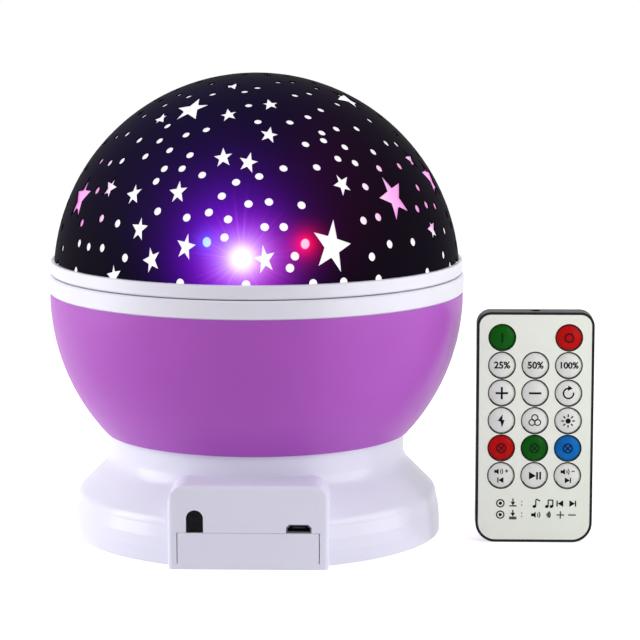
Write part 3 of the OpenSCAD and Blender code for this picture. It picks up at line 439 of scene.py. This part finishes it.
# a tinted key cap, a little cloudy, with a thin gloss
def keyFinish(name, colour, shade):
    finish = Finish(name, **cap["plain"])
    place = finish.place()
    cloud = (finish.noise(cap["cloud"], 2.0, place) - cap["cloudStart"]) * cap["cloudContrast"]
    finish.feed("Base Color", finish.blend(cloud.clip(), colour, shade))
    finish.bump(finish.noise(cap["grain"], 1.0, place), cap["grainHeight"], cap["grainStrength"])
    return finish


socket = {
    # the steel's own colour, then black for the painted shade inside
    "shades": (tint(96, 96, 102), tint(3, 3, 5)),
    "mouth": (-0.0605, -0.0603),    # past these depths the shell is painted dark as shade inside it, in metres along Y
    "rough": 0.34,
    "innerRough": 0.4,          # added to it past the mouth
    "grain": 800.0,
    "unevenness": 0.1,
    "grainHeight": 0.004 * mm,
    "grainStrength": 0.4,
}


# the charging socket's steel shell, painted dark past its mouth as the shade inside it
def socketFinish():
    finish = Finish("socketSteel")
    place = finish.place()
    paintedInnerShade = finish.axes(place)[1].step(*socket["mouth"])
    grain = finish.noise(socket["grain"], 2.0, place)
    finish.feed("Base Color", finish.blend(paintedInnerShade, *socket["shades"]))
    finish.feed("Metallic", 1.0 - paintedInnerShade)
    finish.feed("Roughness", socket["rough"] + grain * socket["unevenness"] + paintedInnerShade * socket["innerRough"])
    finish.bump(grain, socket["grainHeight"], socket["grainStrength"])
    return finish


keyShades = {
    "keyClear": (tint(240, 242, 236), tint(226, 229, 222)),
    "keyGreen": (tint(6, 94, 10), tint(4, 76, 7)),
    "keyRed": (tint(200, 10, 12), tint(166, 7, 9)),
    "keyBlue": (tint(12, 114, 196), tint(8, 90, 164)),
}
# each lamp's body, and its lit cap
lampShades = {
    "ledWhite": (tint(235, 245, 255), tint(255, 255, 255)),
    "ledBlue": (tint(40, 80, 230), tint(120, 170, 255)),
    "ledRed": (tint(230, 40, 40), tint(255, 140, 130)),
    "ledGreen": (tint(40, 200, 90), tint(150, 255, 180)),
}
for name, shades in keyShades.items():
    finishes[name] = keyFinish(name, *shades)
for name, shades in lampShades.items():
    finishes[name] = litEpoxy(name, *shades)
finishes["nightSkin"] = starSkinFinish()
finishes["litDome"] = litDomeFinish()
finishes["socketSteel"] = socketFinish()

# the keys that aren't named here are clear
madeOf = {
    "whiteCase": ["base_shell", "bottom_cover", "battery_door", "light_button", "colour_button",
                  "turn_button"],
    "whiteTrim": ["trim_ring", "dome_collar"],
    "orchid": ["bowl_shell"],
    "nightSkin": ["star_skin"],
    "litDome": ["clear_dome"],
    "whiteGear": ["ring_gear", "drive_pinion"],
    "boxGrey": ["gearbox_case"],
    "nylon": ["bearing_washer"],
    "lampShade": ["lamp_column", "lamp_tray"],
    "vinyl": ["lamp_lead"],
    "whiteBoard": ["led_board"],
    "ledWhite": ["led_white"],
    "ledBlue": ["led_blue"],
    "ledRed": ["led_red"],
    "ledGreen": ["led_green"],
    "greenBoard": ["main_board", "tact_switches", "remote_board"],
    "socketSteel": ["usb_socket"],
    "epoxyBlack": ["ir_receiver", "remote_ir_led"],
    "paper": ["speaker_cone"],
    "sleeve": ["battery_cells"],
    "darkSteel": ["speaker_frame", "retaining_clip"],
    "steel": ["gear_motor", "output_shaft", "cover_screws", "battery_contacts", "remote_snap_domes",
              "coin_cell"],
    "remoteBlack": ["remote_back_shell", "coin_tray"],
    "faceFilm": ["remote_faceplate"],
    "keyGreen": ["key_on", "key_green"],
    "keyRed": ["key_off", "key_red"],
    "keyBlue": ["key_blue"],
}
finishOf = {node: finishes[finish] for finish, wearers in madeOf.items() for node in wearers}
for name, thing in nodes.items():
    thing.data.materials.clear()
    thing.data.materials.append(finishOf.get(name, finishes["keyClear"]).material)
print("finishes: every carried-over node has one")

# ink printed on the remote, in mm
ink = {
    "thick": 0.05,
    "sunk": 0.012,              # how far the ink reaches under the surface
    "ball": 10.0,               # radius of a key's domed front
    "mesh": 0.5,                # spacing of the cuts that let a mark follow the dome
    "weld": 0.004,              # corners closer than this become one
    "bold": 0.09,               # how far the figures' outlines are moved out
    "curve": 5,                 # cuts in each bend of a figure
    # the rings round the keys: black print, partly painted shade of the gaps round the keys
    "ringRadius": 4.5,
    "ringLine": 0.29,
    "ringCorners": 64,
}


class Mark:
    # a flat mark in mm, x to the right and z up as the remote is looked at, which is then pressed on
    def __init__(self):
        self.mesh = bmesh.new()

    # turn is in degrees, clockwise
    def lay(self, x, z, wide=1.0, tall=1.0, turn=0.0):
        return (Matrix.Translation((x, 0, z)) @ Matrix.Rotation(math.radians(turn), 4, "Y")
                @ Matrix.Diagonal((wide, 1, tall, 1)) @ Matrix.Rotation(math.radians(90), 4, "X"))

    def bar(self, x, z, wide, tall, turn=0.0):
        bmesh.ops.create_grid(self.mesh, x_segments=1, y_segments=1, size=0.5,
                              matrix=self.lay(x, z, wide, tall, turn))

    def disc(self, x, z, radius, wide=1.0, tall=1.0, turn=0.0, corners=20):
        return bmesh.ops.create_circle(self.mesh, cap_ends=True, segments=corners, radius=radius,
                                       matrix=self.lay(x, z, wide, tall, turn))["verts"]

    # a triangle that points up, or clockwise from there by turn
    def arrow(self, x, z, radius, turn=0.0, wide=1.0, tall=1.0):
        self.disc(x, z, radius, wide, tall, turn, corners=3)

    # keep is where an open ring starts and ends, in degrees clockwise from the top
    def ring(self, x, z, radius, line, keep=(0, 360), corners=40):
        inner = self.disc(x, z, radius, corners=corners)[0].link_faces[0]
        band = bmesh.ops.inset_individual(self.mesh, faces=[inner], thickness=line, use_even_offset=True)
        unwanted = [inner]
        for face in band["faces"]:
            middle = face.calc_center_median()
            angle = math.degrees(math.atan2(middle.x - x, middle.z - z))
            if (angle - keep[0]) % 360 > keep[1] - keep[0]:
                unwanted.append(face)
        bmesh.ops.delete(self.mesh, geom=unwanted, context="FACES")

    def figures(self, text, x, z, size):
        words = bpy.data.curves.new("figures", "FONT")
        words.body = text
        words.size = size
        words.offset = ink["bold"]
        words.resolution_u = ink["curve"]
        words.align_x = "CENTER"
        words.align_y = "CENTER"
        holder = bpy.data.objects.new("figures", words)
        flat = bpy.data.meshes.new_from_object(holder)
        flat.transform(self.lay(x, z))
        self.mesh.from_mesh(flat)
        bpy.data.objects.remove(holder)
        bpy.data.meshes.remove(flat)

    # cuts the mark into squares, so that it can bend
    def cutUp(self):
        mesh = self.mesh
        reach = max(max(abs(vert.co.x), abs(vert.co.z)) for vert in mesh.verts)
        steps = int(reach / ink["mesh"])
        for step in range(-steps, steps + 1):
            for across in ((1, 0, 0), (0, 0, 1)):
                whole = mesh.verts[:] + mesh.edges[:] + mesh.faces[:]
                bmesh.ops.bisect_plane(mesh, geom=whole, dist=ink["weld"],
                                       plane_co=Vector(across) * step * ink["mesh"], plane_no=across)

    # lays the mark on the face, or on a key's dome, with the thickness of ink
    def press(self, name, body, centre, finish, domed=True):
        mesh = self.mesh
        bmesh.ops.remove_doubles(mesh, verts=mesh.verts, dist=ink["weld"])
        if domed:
            self.cutUp()
        bmesh.ops.dissolve_degenerate(mesh, dist=ink["weld"], edges=mesh.edges)
        bmesh.ops.triangulate(mesh, faces=mesh.faces)
        ball = ink["ball"]
        for vert in mesh.verts:
            drop = ball - math.sqrt(ball ** 2 - vert.co.x ** 2 - vert.co.z ** 2) if domed else 0.0
            vert.co.y = drop + ink["sunk"] - ink["thick"]
        bmesh.ops.solidify(mesh, geom=mesh.faces, thickness=ink["thick"])
        bmesh.ops.transform(mesh, verts=mesh.verts, matrix=Matrix.Translation(centre) @ Matrix.Scale(mm, 4))
        data = bpy.data.meshes.new(name)
        mesh.to_mesh(data)
        mesh.free()
        piece = bpy.data.objects.new(name, data)
        bpy.context.scene.collection.objects.link(piece)
        data.materials.append(finishes[finish].material)
        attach(piece, body)


# the marks on the keys, in mm from the key's middle, and turns in degrees. An arrow has its place, its
# radius and its turn, and a bar its width and its height
marks = {
    "plus": {"long": 4.0, "line": 0.66},
    "turn": {"radius": 1.9, "line": 0.5, "keep": (80, 360), "head": (0.35, 1.7, 1.0, 95)},
    # two arrows, half as wide as they are tall, make a flash
    "flash": [(-0.22, 0.58, 1.7, 20, 0.5), (0.22, -0.58, 1.7, 182, 0.5)],
    "mix": {"out": 1.05, "radius": 1.15, "line": 0.36},
    "sun": {"disc": 0.85, "rays": 8, "out": 1.75, "wide": 0.42, "long": 0.9},
    "lamp": {"radius": 1.7, "line": 0.5, "bar": 0.46, "long": 2.7},
    "on": (0.7, 3.2),
    "off": (1.65, 0.6),
    "play": {"arrow": (-0.95, 0, 1.5, 90), "bars": (0.95, 1.95), "bar": (0.58, 2.5)},
    # the outer keys of the lowest row: place and size of the speaker, its sign and the skip sign
    "tune": {"speaker": (-0.7, 1.35, 1.15), "sign": (1.85, 1.5, 1.1, 0.3), "skip": (0, -1.5, 1.05)},
    # these two at size 1, each place to the right of the sign's middle
    "speaker": {"box": -1.05, "boxSize": (0.5, 0.8), "horn": -0.45, "hornRadius": 0.95, "hornTall": 0.8,
                "waves": (0.8, 1.35), "waveStart": -0.15, "line": 0.24, "keep": (50, 130)},
    "skip": {"bar": 0.95, "barSize": (0.36, 1.7), "arrow": -0.25, "arrowRadius": 1.05, "arrowWide": 1.05},
}


# how each mark is drawn
def markFigures(text, size):
    return lambda mark: mark.figures(text, 0, 0, size)


def markPlus(mark, x=0.0, z=0.0, long=marks["plus"]["long"], line=marks["plus"]["line"]):
    mark.bar(x, z, long, line)
    mark.bar(x, z + (long + line) / 4, line, (long - line) / 2)
    mark.bar(x, z - (long + line) / 4, line, (long - line) / 2)


def markMinus(mark, x=0.0, z=0.0, long=marks["plus"]["long"], line=marks["plus"]["line"]):
    mark.bar(x, z, long, line)


def markTurn(mark):
    turn = marks["turn"]
    mark.ring(0, 0, turn["radius"], turn["line"], keep=turn["keep"])
    mark.arrow(*turn["head"])


def markFlash(mark):
    for arrow in marks["flash"]:
        mark.arrow(*arrow)


def markMix(mark):
    mix = marks["mix"]
    for degrees in (0, 120, 240):
        turn = math.radians(degrees)
        mark.ring(math.sin(turn) * mix["out"], math.cos(turn) * mix["out"], mix["radius"], mix["line"])


def markSun(mark):
    sun = marks["sun"]
    mark.disc(0, 0, sun["disc"])
    for ray in range(sun["rays"]):
        degrees = 360 / sun["rays"] * ray
        turn = math.radians(degrees)
        mark.bar(math.sin(turn) * sun["out"], math.cos(turn) * sun["out"], sun["wide"], sun["long"], degrees)


def markLamp(mark):
    lamp = marks["lamp"]
    mark.ring(0, 0, lamp["radius"], lamp["line"])
    for turn in (45, -45):
        mark.bar(0, 0, lamp["bar"], lamp["long"], turn)


def markOn(mark):
    mark.bar(0, 0, *marks["on"])


def markOff(mark):
    mark.ring(0, 0, *marks["off"])


def markPlay(mark):
    play = marks["play"]
    mark.arrow(*play["arrow"])
    for x in play["bars"]:
        mark.bar(x, 0, *play["bar"])


# a box, a horn and two waves
def markSpeaker(mark, x, z, size):
    sign = marks["speaker"]
    wide, tall = sign["boxSize"]
    mark.bar(x + sign["box"] * size, z, wide * size, tall * size)
    mark.arrow(x + sign["horn"] * size, z, sign["hornRadius"] * size, turn=-90, tall=sign["hornTall"])
    for radius in sign["waves"]:
        mark.ring(x + sign["waveStart"] * size, z, radius * size, sign["line"] * size, sign["keep"],
                  corners=36)


# a bar and an arrow that points to it: side is -1 for the previous tune, 1 for the next
def markSkip(mark, side, x, z, size):
    skip = marks["skip"]
    wide, tall = skip["barSize"]
    mark.bar(x + skip["bar"] * side * size, z, wide * size, tall * size)
    mark.arrow(x + skip["arrow"] * side * size, z, skip["arrowRadius"] * size, turn=90 * side,
               wide=skip["arrowWide"])


# an outer key of the lowest row: its long press above, its short press under it
def markTune(side, sign):
    def draw(mark):
        markSpeaker(mark, *marks["tune"]["speaker"])
        sign(mark, *marks["tune"]["sign"])
        markSkip(mark, side, *marks["tune"]["skip"])
    return draw


keyMarks = {
    "key_on": (markOn, "greenInk"),
    "key_off": (markOff, "redInk"),
    "key_quarter": (markFigures("25%", 3.1), "blackInk"),
    "key_half": (markFigures("50%", 3.1), "blackInk"),
    "key_full": (markFigures("100%", 2.9), "blackInk"),
    "key_plus": (markPlus, "blackInk"),
    "key_minus": (markMinus, "blackInk"),
    "key_rotate": (markTurn, "blackInk"),
    "key_flash": (markFlash, "blackInk"),
    "key_mix": (markMix, "blackInk"),
    "key_white": (markSun, "blackInk"),
    "key_red": (markLamp, "redInk"),
    "key_green": (markLamp, "greenInk"),
    "key_blue": (markLamp, "blueInk"),
    "key_previous": (markTune(-1, markPlus), "blackInk"),
    "key_play": (markPlay, "blackInk"),
    "key_next": (markTune(1, markMinus), "blackInk"),
}


# the middle of a node's front, in metres
def frontOf(name):
    low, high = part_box(name)
    return Vector(((low.x + high.x) / 2, low.y, (low.z + high.z) / 2))


# black rings printed round each key, which also stand in as painted shade for the gap round each key
rings = Mark()
face = frontOf("remote_faceplate")
for name, (draw, finish) in keyMarks.items():
    mark = Mark()
    draw(mark)
    mark.press("print_" + name.replace("key_", ""), bodyOf[name], frontOf(name), finish)
    place = (frontOf(name) - face) / mm
    rings.ring(place.x, place.z, ink["ringRadius"], ink["ringLine"], corners=ink["ringCorners"])
rings.press("print_rings", bodyOf["remote_faceplate"], face, "blackInk", domed=False)
print("remote: keys marked")

# two rows of small signs under the keys: a short press changes the tune, a long one the loudness
signs = {
    "columns": (-10.9, -6.8, -3.9, 0.75, 4.8, 8.7, 12.5),
    "rows": (12.9, 9.1),        # height above the remote's lower end
    "line": 0.4,
    "skip": 1.15,               # size of the skip signs
    "speaker": 1.2,             # size of the speaker
    "long": 2.5,                # length of plus and minus
    "thin": 0.36,               # their line
    "touch": {"ring": 1.4, "dot": 0.55},
    "press": {"arrow": 0.85, "lift": 0.1, "stem": 1.0, "stemUp": 1.1, "bar": 2.4, "barDown": 0.85,
              "barStep": 0.5},
    "colon": {"rise": 0.55, "dot": 0.2},
    # head, stem and beam have their places from a note's middle, and step is the way to the next note
    "note": {"head": (-0.55, -1.0), "headSize": 0.5, "headWide": 1.2, "headTurn": -20,
             "stem": (-0.1, 0.1), "stemLong": 2.2, "beam": (0.65, 1.15), "beamSize": (1.5, 0.42),
             "flagTurn": 25, "step": 1.5},
    "waves": (0.7, 1.2, 1.7),
    "waveStart": 0.9,
}


def signTouch(mark, x, z):
    mark.ring(x, z, signs["touch"]["ring"], signs["line"], corners=28)
    mark.disc(x, z, signs["touch"]["dot"])


# an arrow down onto one line for a short press, onto two for a long one
def signPress(mark, x, z, lines):
    press = signs["press"]
    mark.arrow(x, z + press["lift"] * lines, press["arrow"], turn=180)
    mark.bar(x, z + press["stemUp"], signs["line"], press["stem"])
    for line in range(lines):
        mark.bar(x, z - press["barDown"] - press["barStep"] * line, press["bar"], signs["line"])


def signColon(mark, x, z):
    for side in (-1, 1):
        mark.disc(x, z + side * signs["colon"]["rise"], signs["colon"]["dot"], corners=12)


def signNote(mark, x, z, stems):
    note = signs["note"]
    for stem in range(stems):
        left = x + note["step"] * stem
        right, up = note["head"]
        mark.disc(left + right, z + up, note["headSize"], wide=note["headWide"], turn=note["headTurn"])
        right, up = note["stem"]
        mark.bar(left + right, z + up, signs["line"], note["stemLong"])
    right, up = note["beam"]
    mark.bar(x + right, z + up, *note["beamSize"], turn=0 if stems > 1 else note["flagTurn"])


def signWaves(mark, x, z):
    for radius in signs["waves"]:
        mark.ring(x - signs["waveStart"], z, radius, signs["line"], keep=(45, 135), corners=36)


hints = Mark()
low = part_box("remote_back_shell")[0].z
for row, height in enumerate(signs["rows"]):
    z = height - (face.z - low) / mm
    touch, press, colon, *rest = signs["columns"]
    signTouch(hints, touch, z)
    signPress(hints, press, z, row + 1)
    signColon(hints, colon, z)
    if row == 0:
        signNote(hints, rest[0], z, 1)
        signNote(hints, rest[1], z, 2)
        markSkip(hints, -1, rest[2], z, signs["skip"])
        markSkip(hints, 1, rest[3], z, signs["skip"])
    else:
        markSpeaker(hints, rest[0], z, signs["speaker"])
        signWaves(hints, rest[1], z)
        markPlus(hints, rest[2], z, signs["long"], signs["thin"])
        markMinus(hints, rest[3], z, signs["long"], signs["thin"])
hints.press("print_signs", bodyOf["remote_faceplate"], face, "blackInk", domed=False)
print("remote: signs printed")

studio = {
    "floorRadius": 4.0,
    "floorDrop": 0.0002,
    "floorColour": tint(244, 243, 247),
    "floorRough": 0.9,
    "floorGlow": 0.66,          # lifts the floor to white for the camera and for reflections
    "worldLevel": 0.38,         # of the light that the white surround gives
    # each lamp's place and target in metres, its size in metres and its power in watts
    "lamps": {
        "leftBox": ((-0.80, -0.10, 0.30), (0, 0, 0.07), (0.5, 0.6), 4.4),
        "rightBox": ((0.85, -0.08, 0.30), (0, 0, 0.07), (0.5, 0.6), 2.3),
        "topBox": ((0.05, -0.35, 1.1), (0.02, 0, 0.06), (0.6, 0.5), 1.0),
        "cardBox": ((0.21, -0.17, 0.11), (0.09, -0.02, 0.045), (0.12, 0.12), 0.12),
    },
}


def paleFloor():
    mesh = bmesh.new()
    bmesh.ops.create_circle(mesh, cap_ends=True, segments=64, radius=studio["floorRadius"])
    data = bpy.data.meshes.new("floor")
    mesh.to_mesh(data)
    mesh.free()
    floor = bpy.data.objects.new("floor", data)
    bpy.context.scene.collection.objects.link(floor)
    floor.location.z = -studio["floorDrop"]
    finish = Finish("paleFloor", Base_Color=studio["floorColour"], Roughness=studio["floorRough"],
                    Specular_IOR_Level=0.0, Emission_Color=(1, 1, 1, 1))
    finish.feed("Emission Strength", finish.seen() * studio["floorGlow"])
    floor.data.materials.append(finish.material)


# white for the camera, softer as a light
def backdropLight():
    world = bpy.data.worlds.new("studio")
    bpy.context.scene.world = world
    shader = Shader(world, "Background")
    level = shader.add("MapRange", None,
                       {"Value": shader.seen(), "To Min": studio["worldLevel"], "To Max": 1.0})
    shader.feed("Strength", level)
    shader.feed("Color", (1, 1, 1, 1))


def softBox(name, place, target, size, power):
    data = bpy.data.lights.new(name, "AREA")
    data.shape = "RECTANGLE"
    data.size, data.size_y = size
    data.energy = power
    lamp = bpy.data.objects.new(name, data)
    bpy.context.scene.collection.objects.link(lamp)
    lamp.location = place
    lamp.rotation_euler = (Vector(target) - Vector(place)).to_track_quat("-Z", "Y").to_euler()


viewpoint = {
    "aim": (20.89 * mm, 0.56 * mm, 69.8 * mm),
    "distance": 910.6 * mm,
    "azimuth": 1.54,
    "elevation": 8.77,
    "scale": 3.0125,            # pixels of the photograph to a millimetre, at the aim
    "pixels": 640,              # the photograph's width
    "sensor": 36,
}


def photoCamera():
    data = bpy.data.cameras.new("photoCamera")
    data.sensor_width = viewpoint["sensor"]
    data.lens = viewpoint["scale"] / mm * viewpoint["distance"] / viewpoint["pixels"] * data.sensor_width
    camera = bpy.data.objects.new("photoCamera", data)
    bpy.context.scene.collection.objects.link(camera)
    turn = math.radians(viewpoint["azimuth"])
    rise = math.radians(viewpoint["elevation"])
    back = Vector((math.sin(turn) * math.cos(rise), -math.cos(turn) * math.cos(rise), math.sin(rise)))
    camera.location = Vector(viewpoint["aim"]) + back * viewpoint["distance"]
    camera.rotation_mode = "QUATERNION"
    camera.rotation_quaternion = (-back).to_track_quat("-Z", "Y")
    bpy.context.scene.camera = camera


paleFloor()
backdropLight()
for name, lamp in studio["lamps"].items():
    softBox(name, *lamp)
photoCamera()
bpy.context.scene.view_settings.view_transform = "Standard"
print("stage: floor, light and camera are up")
